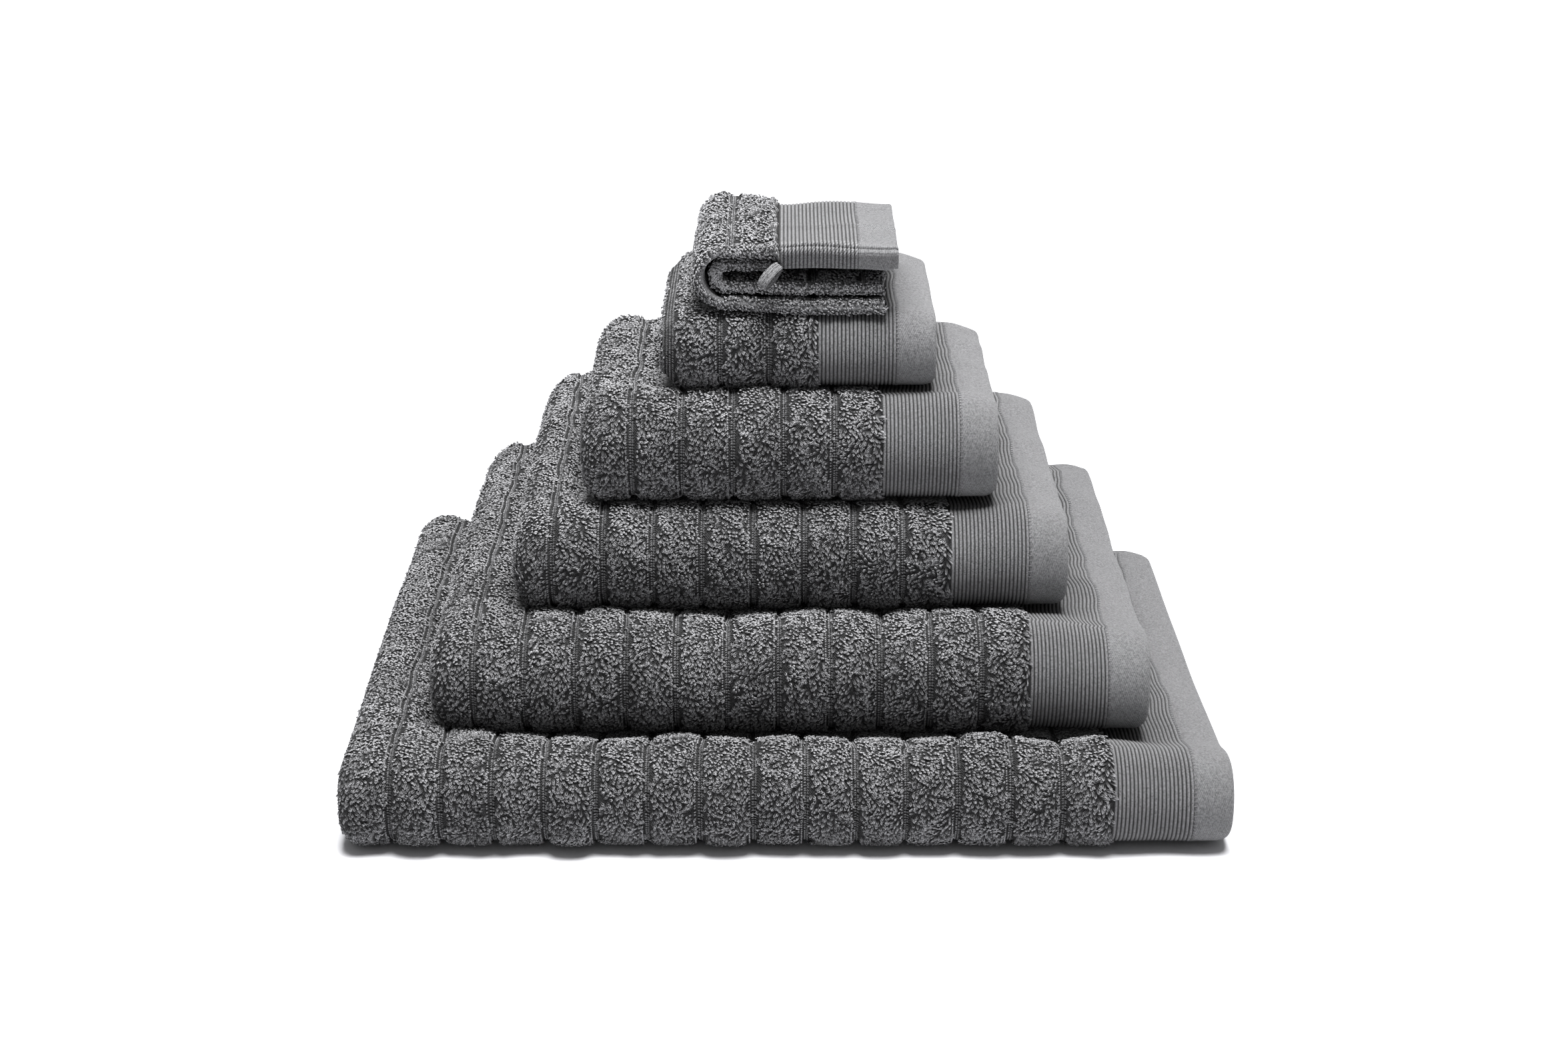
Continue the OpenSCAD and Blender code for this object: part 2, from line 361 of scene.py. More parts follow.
def grown(name, at, normal, along, across, height, wide, lean, tilt, thick, even, seed):
    """Loops of yarn that stand on a surface: one curled loop of tube for each place."""
    rng = np.random.default_rng(seed)
    n, seg, sides = len(at), 4, 3
    flat = np.cos(lean)[:, None] * across + np.sin(lean)[:, None] * along
    up = unit(np.cos(tilt)[:, None] * normal + np.sin(tilt)[:, None] * flat)
    foot = unit(np.cross(normal, flat))
    side = unit(np.cross(foot, up))
    a = np.linspace(0, math.pi, seg + 1)[None]
    twist = rng.normal(0.7, 0.3, n)[:, None] * np.sin(a)
    belly = wide[:, None] * np.cos(a) * (0.55 + 0.85 * np.sin(a))
    rise = height[:, None] * np.sqrt(np.sin(a))
    curl = 0.36 * height[:, None] * np.sin(a) ** 2
    mid = (at[:, None] + foot[:, None] * (belly * np.cos(twist))[..., None]
           + side[:, None] * (belly * np.sin(twist))[..., None] + up[:, None] * rise[..., None]
           + (flat * 0.9 - normal * 0.5)[:, None] * curl[..., None])
    run = unit(np.gradient(mid, axis=1))
    first = unit(np.cross(run, np.cross(side, run[:, seg // 2])[:, None] + 0 * run))
    second = np.cross(run, first)
    ring = np.linspace(0, 2 * math.pi, sides, endpoint=False) + 0.5
    girth = thick * (0.8 + 0.3 * np.sin(a))[..., None, None]
    points = mid[:, :, None] + girth * (np.cos(ring)[None, None, :, None] * first[:, :, None]
                                        + np.sin(ring)[None, None, :, None] * second[:, :, None])
    one = np.array([[i * sides + j, i * sides + (j + 1) % sides, (i + 1) * sides + (j + 1) % sides,
                     (i + 1) * sides + j] for i in range(seg) for j in range(sides)])
    quads = (np.arange(n) * (seg + 1) * sides)[:, None, None] + one
    tone = rng.uniform(0, 1, n) * np.where(even, 0.3, 1)
    tones = tone[:, None, None] + np.zeros((1, 1, sides))
    # the first UV value, how far up the loop, is what the pile material turns into painted shade at the feet
    # and painted light at the top
    uv = np.stack(np.broadcast_arrays(np.sin(a)[..., None], tones), -1)
    return mesh_object(name, points, quads, [PILE], None, uv)


class Surface:
    """A grid of points with s along the cloth's length and v across its width, read in between."""

    def __init__(self, points, s, v):
        self.p, self.s, self.v = points, s, v

    def at(self, s, v):
        i = np.clip(np.searchsorted(self.s, s) - 1, 0, len(self.s) - 2)
        j = np.clip(np.searchsorted(self.v, v) - 1, 0, len(self.v) - 2)
        a = ((s - self.s[i]) / (self.s[i + 1] - self.s[i]))[:, None]
        b = ((v - self.v[j]) / (self.v[j + 1] - self.v[j]))[:, None]
        p = self.p
        p00, p10, p01, p11 = p[i, j], p[i + 1, j], p[i, j + 1], p[i + 1, j + 1]
        here = mix(mix(p00, p10, a), mix(p01, p11, a), b)
        along = unit(mix(p10 - p00, p11 - p01, b))
        across = unit(mix(p01 - p00, p11 - p10, a))
        return here, unit(np.cross(along, across)), along, across


def pile_on(name, surface, s_from, s_to, v_from, v_to, keep, seed, flip=1.0, lay=0.0, edges=(), ends=()):
    """Random loops over the ribs, and two rows of small even ones along each side of a woven line.

    Edges are places across the cloth and ends places along it that get a row of loops of their own.
    """
    phase = HEM + BORDER
    rng = np.random.default_rng(seed)
    ds, dv = 2.05 * MM, 2.3 * MM
    gs, gv = np.meshgrid(np.arange(s_from, s_to, ds), np.arange(v_from, v_to, dv), indexing="ij")
    gv = gv + (np.arange(gs.shape[0]) % 2)[:, None] * dv / 2
    s = (gs + rng.uniform(-0.8, 0.8, gs.shape) * MM).ravel()
    v = (gv + rng.uniform(-0.9, 0.9, gs.shape) * MM).ravel()
    inside = np.mod(s - phase, PITCH)
    clear = (inside > 1.9 * MM) & (inside < PITCH - GROOVE - 1.9 * MM)
    s, v = s[clear], v[clear]
    row_s, row_v = [], []
    first, last = math.ceil((s_from - phase) / PITCH), math.floor((s_to - phase) / PITCH)
    lines = np.arange(first, last + 1) * PITCH + phase
    for line in lines:
        for off in (-0.6, 1.0, -GROOVE / MM + 0.6, -GROOVE / MM - 1.0):
            a = line + off * MM
            if s_from < a < s_to:
                b = np.arange(v_from, v_to, 2.0 * MM)
                row_s.append(np.full(len(b), a))
                row_v.append(b + rng.uniform(-0.25, 0.25, len(b)) * MM)
    s, v = np.clip(s, s_from, s_to), np.clip(v, v_from, v_to)
    for b in edges:
        a = np.arange(s_from, s_to, 2.5 * MM) + rng.uniform(0, 2.5 * MM)
        s, v = np.r_[s, a + rng.uniform(-0.6, 0.6, len(a)) * MM], np.r_[v, np.full(len(a), b)]
    for a in ends:
        b = np.arange(min([v_from, *edges]), v_to, 2.4 * MM)
        s, v = np.r_[s, np.full(len(b), a)], np.r_[v, b + rng.uniform(0, 1.5, len(b)) * MM]
    n0 = len(s)
    s, v = np.r_[s, *row_s], np.r_[v, *row_v]
    s = np.clip(s, s_from, s_to)
    even = np.arange(len(s)) >= n0
    here, normal, along, across = surface.at(s, v)
    normal = normal * flip
    ok = keep(s, v, here)
    here, normal, along, across, s, v, even = (q[ok] for q in (here, normal, along, across, s, v, even))
    swirl = waves(seed + 1, 12 * MM, 30 * MM)(s, v) * 0.8 + waves(seed + 2, 40 * MM, 120 * MM)(s, v) * 0.4
    n = len(s)
    lean = np.where(even, math.pi / 2 + rng.normal(0, 0.15, n), lay + swirl + rng.normal(0, 0.4, n))
    beside = 0.8 * np.exp(-(((s - phase) / (4 * MM)) ** 2))
    lean = mix(lean, -math.pi / 2, np.where(even, 0, beside))
    tilt = np.where(even, 0.95, np.clip(rng.normal(0.92, 0.22, n), 0.3, 1.3))
    height = np.where(even, 1.8, np.clip(rng.normal(2.65, 0.45, n), 1.8, 3.8)) * MM
    height = height * (1 + 0.5 * np.exp(-(((s - phase) / (9 * MM)) ** 2)))
    wide = np.where(even, 0.5, rng.uniform(0.6, 0.85, n)) * MM
    root = here - normal * 0.2 * MM
    return grown(name, root, normal, along, across, height, wide, lean, tilt, YARN, even, seed)


def stitches(name, here, normal, run):
    """Short stitches of thread, one at each place, lying along run."""
    n, k = len(here), 6
    t = np.array([-1.25, -0.8, 0.8, 1.25]) * MM
    r = np.array([0.12, 0.34, 0.34, 0.12]) * MM
    ring = np.linspace(0, 2 * math.pi, k, endpoint=False)
    side = unit(np.cross(normal, run))
    lift = np.sin(ring)[None, :] * 0.8 * r[:, None] + 0.12 * MM
    points = (here[:, None, None] + run[:, None, None] * t[None, :, None, None]
              + normal[:, None, None] * lift[None, ..., None]
              + side[:, None, None] * (np.cos(ring)[None, :] * r[:, None])[None, ..., None])
    one = [[i * k + j, i * k + (j + 1) % k, (i + 1) * k + (j + 1) % k, (i + 1) * k + j]
           for i in range(3) for j in range(k)]
    one += [[3 * k + a for a in (0, 1, 2, 3)], [3 * k + a for a in (0, 3, 4, 5)], [3, 2, 1, 0], [5, 4, 3, 0]]
    quads = (np.arange(n) * 4 * k)[:, None, None] + np.array(one)
    return mesh_object(name, points, quads, [THREAD])


# ---------- a towel with a rolled front ----------


class Towel:
    def __init__(self, name, cut, above, puff, sag, seed):
        self.name, self.cut, self.above, self.puff, self.sag, self.seed = name, cut, above, puff, sag, seed
        terry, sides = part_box(name + "_terry"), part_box(name + "_side_hems")
        self.x0, self.x1 = sides[0][0], sides[1][0]
        self.front, self.back = terry[0][1], sides[1][1]
        self.base = terry[0][2]
        self.high = sides[1][2] - self.base + 0.5 * MM
        self.roll = (terry[1][2] - self.base) / 2
        self.rise = 2 * self.roll - self.high
        self.layer = self.high / 6
        self.middle = self.front + self.roll  # where the roll's centre lies
        self.lumps = waves(seed, 50 * MM, 160 * MM)
        self.ripple = waves(seed + 5, 30 * MM, 90 * MM)

    def covered(self, x, y):
        """From 0 where the towel lies open to 1 where the one above presses on it."""
        if self.above is None:
            return np.zeros(np.broadcast(x, y).shape)
        ax0, ax1, ay0, ay1 = self.above
        reach = 24 * MM
        left, right = (x - ax0 + reach) / (reach + 12 * MM), (ax1 - x + reach) / (reach + 12 * MM)
        near, far = (y - ay0 + 2 * MM) / (20 * MM), (ay1 - y + 14 * MM) / (22 * MM)
        return smooth(left) * smooth(right) * smooth(near) * smooth(far)

    def height(self, x, y):
        """How high the towel stands at that place."""
        along = (x - self.x0) / (self.x1 - self.x0)
        left, right = 1 - smooth(along / 0.3), smooth((along - 0.78) / 0.22)
        behind = smooth((y - self.middle) / 0.05)
        far = smooth((y - self.middle) / (0.62 * (self.back - self.middle)))
        middle = self.high + self.rise * (1 - behind)
        on_left = self.high + self.rise + (self.puff - self.rise) * far
        on_right = self.high + self.rise * 0.75 * (1 - behind) - self.sag * far
        free = middle + (on_left - middle) * left + (on_right - middle) * right
        free = free + 1.4 * MM * self.lumps(x, y)
        return mix(free, self.high, self.covered(x, y))

    def path(self):
        """The cloth's middle line: place across the towel, depth in the fold and outward normal."""
        p, x0, x1 = self.layer, self.x0, self.x1
        left, right = x0 + p, x1 - 8 * MM - p
        runs = [x1 - left, math.pi * p / 2, right - left, math.pi * p / 2]
        ends = np.cumsum(runs)
        last = min(self.cut[1] - ends[3], right - x0 - 6 * MM)
        length = ends[3] + last
        s = columns(length, ends[1] + 4 * MM)
        s += list(np.linspace(ends[0], ends[1], 15)) + list(np.linspace(ends[2], ends[3], 11))
        s = tidy(s)
        x, w, nx, nw = (np.zeros(len(s)) for _ in range(4))
        a = s <= ends[0]
        x[a], w[a], nw[a] = x1 - s[a], p / 2, -1
        a = (s > ends[0]) & (s <= ends[1])
        t = (s[a] - ends[0]) / (p / 2)
        x[a], w[a] = left - p / 2 * np.sin(t), p - p / 2 * np.cos(t)
        nx[a], nw[a] = -np.sin(t), -np.cos(t)
        a = (s > ends[1]) & (s <= ends[2])
        x[a], w[a], nw[a] = left + s[a] - ends[1], 3 * p / 2, 1
        a = (s > ends[2]) & (s <= ends[3])
        t = (s[a] - ends[2]) / (p / 2)
        x[a], w[a] = right + p / 2 * np.sin(t), 2 * p - p / 2 * np.cos(t)
        nx[a], nw[a] = -np.sin(t), np.cos(t)
        a = s > ends[3]
        x[a], w[a], nw[a] = right - (s[a] - ends[3]), 5 * p / 2, -1
        return s, x, w, nx, nw, ends, length

    def rows(self):
        """Places across the cloth's width: top from the back, round the roll, then the underside."""
        flat = self.back - self.middle
        edge = [0, 0.2, 0.7, 1.7, 4, 7.4, 8.6, 10, 12, 16]
        top = [e * MM for e in edge] + list(np.arange(22 * MM, flat - 3 * MM, 6 * MM))
        low = [e * MM for e in edge] + list(np.arange(26 * MM, flat - 5 * MM, 11 * MM))
        turn = np.linspace(0, math.pi, 40)
        kind = np.r_[np.zeros(len(top)), np.ones(len(turn)), np.full(len(low), 2)]
        place = np.r_[[self.back - e for e in top], turn, [self.back - e for e in low][::-1]]
        edge_gap = np.r_[top, np.full(len(turn), flat), low[::-1]]
        around = self.roll * turn
        v = np.r_[top, flat + around, 2 * flat + around[-1] - np.array(low[::-1])]
        return kind, place, edge_gap, v

    def put(self, x, w, kind, place, shift):
        """Brings a place across, a depth in the fold and a row to the stack."""
        half_high = self.high / 2
        drawn_in = shift * (place - self.middle) / (self.back - self.middle)
        y = np.where(kind == 1, self.middle, place - drawn_in)
        y = np.broadcast_to(y, np.broadcast(x, y).shape)
        tall = self.height(x, y)
        low_end = 1 - 0.24 * (1 - np.clip((x - self.x0) / (20 * MM), 0, 1)) ** 2.2
        low_end = low_end - 0.14 * (1 - np.clip((self.x1 - x) / (9 * MM), 0, 1)) ** 2
        high_end = 1 - 0.42 * (1 - np.clip((x - self.x0) / (36 * MM), 0, 1)) ** 2.2
        high_end = high_end - 0.16 * (1 - np.clip((self.x1 - x) / (24 * MM), 0, 1)) ** 2
        inward = np.clip(1 - w / half_high, 0.004, 1.2)
        upper = np.where(kind == 1, np.cos(place) > 0, kind == 0)
        share = inward * np.where(upper, high_end, low_end)
        zmid = self.base + tall / 2
        z = zmid + np.where(kind == 0, 1, -1) * tall / 2 * share
        power = 2 / 2.2
        c, d = np.cos(place), np.abs(np.sin(place))
        bulge = 1 + 0.035 * self.ripple(x, 0 * x)
        blunt = inward * mix(low_end, high_end, (1 + c) / 2)
        yr = self.middle - self.roll * bulge * blunt * d**power
        zr = zmid + tall / 2 * share * np.sign(c) * np.abs(c) ** power
        turn = kind == 1
        at_back = (1 - np.clip((self.back - y) / (20 * MM), 0, 1)) ** 2 * (~turn)
        on_right, on_left = 1 - smooth((self.x1 - x) / (34 * MM)), 1 - smooth((x - self.x0) / (50 * MM))
        x = x + at_back * (9 * MM * on_left - 6 * MM * on_right)
        wander = 0.7 * MM * self.ripple(x * 0.3, y + z)
        wander = wander * smooth((x - self.x0) / 0.03) * smooth((self.x1 - x) / 0.03)
        return np.stack([x + wander, np.where(turn, yr, y), np.where(turn, zr, z)], -1)

    def build(self, rests_on):
        s, x, w, nx, nw, ends, length = self.path()
        kind, place, gap, v = self.rows()
        out, inner = faces_of_cloth(s, self.layer, length)
        up, down = self.layer / 2 - out, inner - self.layer / 2
        plain = smooth((gap - 7.6 * MM) / (3.4 * MM))[None]
        tip = np.sqrt(np.clip(1 - (1 - np.clip(gap / (1.7 * MM), 0, 1)) ** 2, 0.004, 1))[None]
        up = mix(1.7 * MM, up[:, None], plain) * tip
        down = mix(1.7 * MM, down[:, None], plain) * tip
        shift = (1.6 + 1.4 * np.sin(s * 9 + self.seed) + (s > ends[1]) * 1.5)[:, None] * MM * 0.7
        args = (kind[None], place[None], shift)
        side_a = self.put(x[:, None] + nx[:, None] * up, w[:, None] + nw[:, None] * up, *args)
        side_b = self.put(x[:, None] - nx[:, None] * down, w[:, None] - nw[:, None] * down, *args)
        ring = np.concatenate([side_a, side_b[::-1]])
        n, m = ring.shape[:2]
        i, j = np.meshgrid(np.arange(n), np.arange(m - 1), indexing="ij")
        k = (i + 1) % n
        quads = np.stack([i * m + j, k * m + j, k * m + j + 1, i * m + j + 1], -1).reshape(-1, 4)
        half = len(s)
        a = np.arange(half - 1)
        b = n - 1 - a
        cap = np.stack([a, b, b - 1, a + 1], -1)
        quads = np.concatenate([quads, cap * m, cap[:, ::-1] * m + m - 1])
        from_end = np.minimum(s, length - s)
        zone = np.where(from_end < HEM + BORDER, ON_CORD, ON_GROUND)
        zone = np.where(from_end < HEM, ON_TWILL, zone)
        zone = np.concatenate([zone, zone[::-1]])
        zones = np.where(gap[None, :-1] < SIDE_BAND, ON_TWILL, zone[:, None])
        loops = self.stands(s[:, None], v[None, :-1], side_a[:, :-1], ends) & (s <= ends[1])[:, None]
        tucked = (s > ends[2] - TUCKED_FROM) & (s < ends[3] + TUCKED_TO)
        inner_loops = tucked[:, None] & np.ones(len(v) - 1, bool)
        bare = ~np.concatenate([loops, inner_loops[::-1]])
        zones = np.where((zones == ON_GROUND) & bare, ON_PRESSED, zones)
        index = np.concatenate([zones.ravel(), np.full(2 * len(cap), ON_TWILL)])
        along = np.concatenate([s, s[::-1]])
        uv = np.stack(np.broadcast_arrays(along[:, None], v[None]), -1)
        cloth = mesh_object(self.name + "_cloth", ring, quads, CLOTH, index, uv)
        self.surface, self.inside = Surface(side_a, s, v), Surface(side_b, s, v)
        self.finish(cloth, ends, v)

    def stands(self, s, v, here, ends):
        """Whether the pile stands up at that place and isn't pressed flat by the towel above."""
        roll_from = self.back - self.middle
        shown = self.covered(here[..., 0], here[..., 1]) < 0.72
        top = (v < roll_from) & shown
        turn = (v >= roll_from) & (v < roll_from + 0.87 * math.pi * self.roll)
        if self.above is not None:
            turn = turn & ((v > roll_from + 0.05) | shown)
        return top | turn | (s > ends[0] - 3 * MM)

    def finish(self, cloth, ends, v):
        def keep(s, v, here):
            return self.stands(s, v, here, ends)

        def everywhere(s, v, here):
            return np.ones(len(s), bool)

        v_from, v_to = SIDE_HEM + 1 * MM, v[-1] - SIDE_HEM - 1 * MM
        pile = pile_on(self.name + "_pile", self.surface, HEM + BORDER + 1 * MM, ends[1],
                       v_from, v_to, keep, self.seed)
        # the fold tucked in at the right end shows its other side, between the hem's two sides
        tucked = pile_on(self.name + "_tucked_pile", self.inside, ends[2] - TUCKED_FROM, ends[3] + TUCKED_TO,
                         v_from, v_to, everywhere, self.seed + 3, flip=-1.0)
        sv = np.arange(SIDE_HEM, v[-1] - SIDE_HEM, STITCH_STEP)
        here, normal, along, _ = self.surface.at(np.full(len(sv), STITCH_LINE), sv)
        thread = stitches(self.name + "_stitches", here, normal, along)
        for piece in (cloth, pile, tucked, thread):
            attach(piece, self.name)
        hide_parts(*(f"{self.name}_{n}" for n in ("terry", "border", "hem", "side_hems")))
        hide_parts(self.name + "_hem_thread")


def footprint(name, first="_terry", sides="_side_hems"):
    t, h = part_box(name + first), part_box(name + sides)
    return min(t[0][0], h[0][0]), h[1][0], t[0][1] + 12 * MM, max(t[1][1], h[1][1])


NAMES = ["jumbo_sheet", "bath_sheet", "bath_towel", "hand_towel", "guest_towel"]
CUTS = [(1.0, 1.9), (0.9, 1.5), (0.7, 1.2), (0.5, 0.9), (0.4, 0.6)]
PUFFS = [26, 15, 16, 6, 3]  # mm a towel swells up at its left end
SAGS = [9, 4, 5, 2, 1]  # mm it sinks at its right end
fold_box, low_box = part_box("face_cloth_fold"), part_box("face_cloth_lower_terry")
covers = [footprint(n) for n in NAMES[1:]]
covers.append((fold_box[0][0] + 6 * MM, low_box[1][0], low_box[0][1] - 8 * MM, low_box[1][1]))
for k, name in enumerate(NAMES):
    towel = Towel(name, CUTS[k], covers[k], PUFFS[k] * MM, SAGS[k] * MM, seed=11 + 7 * k)
    towel.build([] if k == 0 else [NAMES[k - 1] + "_cloth"])


# ---------- the face cloth ----------


class FaceCloth:
    """Folded once at the back, then once at the left, so that it opens like a C seen from the front."""

    def __init__(self, below):
        self.below = below
        self.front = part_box("face_cloth_upper_side_hems")[0][1]
        self.back = low_box[1][1]
        self.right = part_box("face_cloth_hem")[1][0]
        self.base, self.top = fold_box[0][2], fold_box[1][2]
        self.r = (self.top - self.base) / 2
        self.axis = fold_box[0][0] + self.r
        self.half = low_box[1][2] - low_box[0][2]
        self.layer = self.half / 2
        self.low_end = low_box[1][0]
        self.upper, self.turn = self.right - self.axis, math.pi * self.r
        self.length = self.upper + self.turn + self.low_end - self.axis
        self.lumps = waves(91, 35 * MM, 80 * MM)

    def across(self):
        """The cloth's width as seen from the side: place in Y, depth in the fold and outward normal."""
        p, front, back = self.layer, self.front + 1.5 * MM, self.back - self.layer
        straight, turn = back - front, math.pi * p / 2
        total = 2 * straight + turn - 4 * MM
        v = [0, 0.15, 0.5, 1.2, 2.2, 4, 6, 8, 10, 11.5]
        v += [12.2, 12.8, 13.1, 13.35, 13.6, 13.85, 14.1, 14.6, 16, 19]
        v = [a * MM for a in v] + list(np.arange(23 * MM, straight, 4 * MM))
        v += list(straight + np.linspace(0, turn, 13))
        v += list(np.arange(straight + turn + 4 * MM, total - 22 * MM, 6 * MM))
        v += [total - a * MM for a in (19, 14, 11, 9, 7, 5, 3.4, 2.2, 1.2, 0.5, 0.15, 0)]
        v = tidy(v)
        y, w, ny, nw = (np.zeros(len(v)) for _ in range(4))
        a = v <= straight
        y[a], w[a], nw[a] = front + v[a], p / 2, -1
        a = (v > straight) & (v <= straight + turn)
        t = (v[a] - straight) / (p / 2)
        y[a], w[a] = back + p / 2 * np.sin(t), p - p / 2 * np.cos(t)
        ny[a], nw[a] = np.sin(t), -np.cos(t)
        a = v > straight + turn
        y[a], w[a], nw[a] = back - (v[a] - straight - turn), 3 * p / 2, 1
        return v, y, w, ny, nw, total

    def put(self, s, w, y):
        """Wraps a depth w below the outside of the C, at s along it, round to its place."""
        upper, turn, half = self.upper, self.turn, self.half
        on_top, on_turn = s <= upper, (s > upper) & (s <= upper + turn)
        t = np.clip((s - upper) / turn, 0, 1) * math.pi
        r = self.r - w
        x = np.where(on_turn, self.axis - r * np.sin(t), self.axis + s - upper - turn)
        x = np.where(on_top, self.right - s, x)
        z = np.where(on_turn, self.base + self.r + r * np.cos(t), self.base + w)
        z = np.where(on_top, self.top - w, z)
        deep = smooth((y - self.front - 8 * MM) / (0.7 * (self.back - self.front)))
        hump = 6.5 * MM * np.exp(-(((s - upper - 12 * MM) / (22 * MM)) ** 2))
        hump = hump + 4.5 * MM * np.exp(-(((s - HEM - BORDER - 18 * MM) / (15 * MM)) ** 2))
        hump = hump * deep * (1 - smooth((t - 0.9) / 1.2))
        crease = 2.4 * MM * np.exp(-(((y - self.front - 62 * MM) / (5 * MM)) ** 2)) * (s < HEM + BORDER)
        soft = 1.1 * MM * self.lumps(x, y) * (1 - smooth(t / 1.5))
        z = z + (hump + crease + soft) * (1 - w / half * 0.75) - 1.6 * MM * smooth((HEM - s) / HEM) * on_top
        # the lower half hangs a little over the rolled front of the towel below
        below = self.below
        ahead = np.clip((below.middle - y) / below.roll, 0, 0.95)
        droop = below.roll * (1 - (1 - ahead**2.2) ** (1 / 2.2)) * 0.8
        droop = droop * smooth((x - self.axis + 12 * MM) / (75 * MM)) * smooth((t - 1.7) / 1.3)
        return np.stack([x, np.broadcast_to(y, x.shape), z - droop * (1 - 0.6 * w / half)], -1)

    def build(self):
        v, y, w, ny, nw, total = self.across()
        p, length = self.layer, self.length
        s = columns(length, 1.0) + list(np.linspace(self.upper, self.upper + self.turn, 33))
        s = tidy([a for a in s if a <= length] + [length - a * MM for a in (0, 0.15, 0.5, 1.2, 2.2, 3.2)])
        out, inner = faces_of_cloth(s, p)
        terry = s > HEM + BORDER
        out = np.where(terry, 0.6 * out, out)
        ends = np.sqrt(np.clip(1 - (1 - np.clip((length - s) / (3.2 * MM), 0, 1)) ** 2, 0.01, 1))
        up, down = (p / 2 - out) * ends, (inner - p / 2) * ends
        gap = np.minimum(v, total - v)
        plain = smooth((gap - 5 * MM) / (9 * MM))[:, None]
        tip = np.sqrt(np.clip(1 - (1 - np.clip(gap / (3.2 * MM), 0, 1)) ** 2, 0.01, 1))[:, None]
        up = mix(np.where(terry, 3.5, 1.9)[None] * MM * ends, up[None], plain) * tip
        down = mix(np.where(terry, 3.3, 1.6)[None] * MM * ends, down[None], plain) * tip
        # in front of the hem and the border the outer layer's edge turns down
        turned_down = (1 - smooth((s - HEM - BORDER + 3 * MM) / (8 * MM)))[None]
        lip, corner = 11.5 * MM, 3.5 * MM
        arc = np.clip((lip + corner - v) / corner, 0, 1) * math.pi / 2
        turned = (v < lip + corner)[:, None]
        drop = (corner * (1 - np.cos(arc)) + np.clip(lip - v, 0, None))[:, None]
        drop = drop * (1 - 0.3 * np.clip(1 - s / (7 * MM), 0, 1) ** 2.5)[None]
        curl_under = 2.2 * MM * np.clip((5 * MM - v) / (5 * MM), 0, 1)[:, None] ** 2
        rounded = (self.front + 1.9 * MM + corner * (1 - np.sin(arc)))[:, None] + curl_under
        y2 = np.where(turned, rounded, y[:, None])
        w2 = np.where(turned, p / 2 - 1.6 * MM + drop, w[:, None])
        ny2 = np.where(turned, -np.sin(arc)[:, None], ny[:, None])
        nw2 = np.where(turned, -np.cos(arc)[:, None], nw[:, None])
        yy, ww = mix(y[:, None], y2, turned_down), mix(w[:, None], w2, turned_down)
        nyy, nww = mix(ny[:, None], ny2, turned_down), mix(nw[:, None], nw2, turned_down)
        seam_at = lip + 0.6 * corner
        up = up - 2.1 * MM * np.exp(-(((v - seam_at) / (0.42 * MM)) ** 2))[:, None] * turned_down
        side_a = self.put(s[None], ww + nww * up, yy + nyy * up)
        side_b = self.put(s[None], ww - nww * down, yy - nyy * down)
        ring = np.concatenate([side_a, side_b[::-1]])
        n, m = ring.shape[:2]
        i, j = np.meshgrid(np.arange(n), np.arange(m - 1), indexing="ij")
        k = (i + 1) % n
        quads = np.stack([i * m + j, i * m + j + 1, k * m + j + 1, k * m + j], -1).reshape(-1, 4)
        a = np.arange(len(v) - 1)
        c = n - 1 - a
        cap = np.stack([a, a + 1, c - 1, c], -1)
        quads = np.concatenate([quads, cap * m, cap[:, ::-1] * m + m - 1])
        zone = np.where(s < HEM + BORDER, ON_CORD, ON_GROUND)
        zone = np.where(s < HEM, ON_TWILL, zone)
        both = np.concatenate([gap, gap[::-1]])
        is_side = (both[:, None] < SIDE_BAND) & (s[None, :-1] > HEM + BORDER)
        index = np.where(is_side, ON_TWILL, zone[None, :-1])
        index = np.concatenate([index.ravel(), np.full(2 * len(cap), ON_TWILL)])
        uv = np.stack(np.broadcast_arrays(s[None], np.concatenate([v, v[::-1]])[:, None]), -1)
        cloth = mesh_object("face_cloth_cloth", ring, quads, CLOTH, index, uv)
        outside = Surface(side_a.transpose(1, 0, 2), s, v)
        inside = Surface(side_b.transpose(1, 0, 2), s, v)
        self.grow(cloth, outside, inside, total)

    def grow(self, cloth, outside, inside, total):
        start, stop = HEM + BORDER + 1 * MM, self.length - 0.4 * MM
        middle = self.upper + self.turn / 2
        back_fold = self.back - self.front

        def on_outside(s, v, here):
            return (here[:, 2] > self.base + 8 * MM) | (v < 12 * MM)

        def near_edge(s, v, here):
            return (v > total - 30 * MM) | (s > self.length - 30 * MM)

        def off_the_turn(s, v, here):
            return (s < self.upper + 0.12 * self.turn) | (s > self.upper + 0.95 * self.turn)

        def facing(s, v, here):
            return off_the_turn(s, v, here) | (v > total - 10 * MM)

        def at_rim(s, v, here):
            return off_the_turn(s, v, here) & (v < 10 * MM)

        edge = [a * MM for a in (0.1, 0.4, 0.9, 1.6, 2.5)]
        last = [total - a for a in edge]
        facing_from = back_fold + 14 * MM
